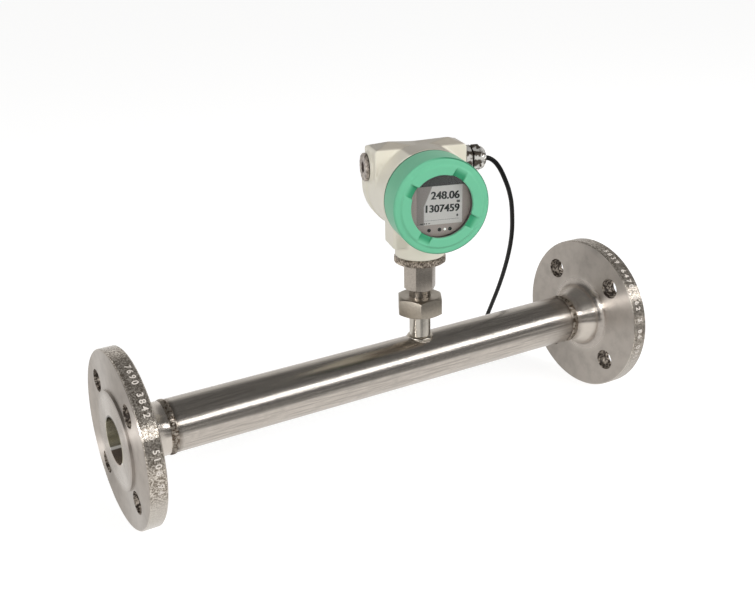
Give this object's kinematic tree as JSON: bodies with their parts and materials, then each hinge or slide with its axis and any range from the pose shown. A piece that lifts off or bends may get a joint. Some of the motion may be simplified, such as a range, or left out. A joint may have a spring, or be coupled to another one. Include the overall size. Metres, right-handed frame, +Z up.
{
  "type": "flanged flow meter",
  "caption": "In-line thermal flow meter: a measuring pipe between two weld-neck flanges, with a branch that carries an insertion probe and a housing with display, cable gland and lead",
  "frame": {"origin": "on the pipe axis, in the plane of the inlet flange's raised face, at the centre of its bolt pattern", "axes": "+X along the flow from the inlet to the outlet; +Z up through the branch to the housing; +Y behind, away from the display"},
  "size_m": [0.5012, 0.222, 0.2605],
  "materials": {
    "brushed_steel_pipe": "brushed along the circumference, stainless",
    "turned_steel": "fine turned lathe finish, stainless",
    "weld_metal": "weld bead with heat tint",
    "bright_steel": "machined, bright stainless",
    "dark_collar": "dark anodised, fine knurl",
    "cream_paint": "fine textured powder coat on an aluminium casting, cream",
    "green_paint": "satin powder coat, light green",
    "seal_rubber": "matt black elastomer",
    "window_glass": "clear flat safety glass",
    "bezel_plastic": "matt grey film",
    "lcd_glass": "reflective liquid-crystal cell, grey green",
    "key_plastic": "dark optical key windows",
    "led_lens": "small green indicator lens",
    "board": "green solder mask",
    "brass_standoff": "bright turned brass",
    "small_screw": "zinc plated screws",
    "terminal_plastic": "green terminal plastic",
    "nickel_brass": "nickel-plated brass, satin",
    "plug_plastic": "grey moulded plastic",
    "cable_jacket": "black cable jacket, slightly glossy",
    "core_insulation": "coloured core insulation",
    "ferrule_metal": "tinned copper sleeve"
  },
  "bodies": {
    "root": {"measuring_pipe": "brushed_steel_pipe", "inlet_flange": "turned_steel", "outlet_flange": "turned_steel", "inlet_weld": "weld_metal", "outlet_weld": "weld_metal", "branch_stub": "bright_steel", "branch_weld": "weld_metal", "union_gasket": "seal_rubber", "union_nut": "bright_steel", "neck_adapter": "bright_steel", "base_collar": "dark_collar", "probe_tube": "bright_steel", "probe_guard": "bright_steel", "heated_sensor": "bright_steel", "temperature_sensor": "bright_steel", "housing_body": "cream_paint", "front_cover": "green_paint", "window_gasket": "seal_rubber", "window_glass": "window_glass", "glass_retaining_ring": "dark_collar", "front_o_ring": "seal_rubber", "rear_cover": "cream_paint", "display_bezel": "bezel_plastic", "lcd_panel": "lcd_glass", "touch_keys": "key_plastic", "status_led": "led_lens", "display_board": "board", "display_standoffs": "brass_standoff", "display_screws": "small_screw", "main_board": "board", "board_standoffs": "brass_standoff", "terminal_board": "board", "terminal_standoffs": "brass_standoff", "terminal_block": "terminal_plastic", "terminal_screws": "small_screw", "gland_washer": "seal_rubber", "gland_body": "nickel_brass", "gland_seal": "seal_rubber", "gland_nut": "nickel_brass", "plug_seal": "seal_rubber", "blind_plug": "plug_plastic", "cable": "cable_jacket", "cable_coil": "cable_jacket", "cable_tail": "cable_jacket", "cable_cores": "core_insulation", "core_ferrules": "ferrule_metal"}
  },
  "joints": []
}
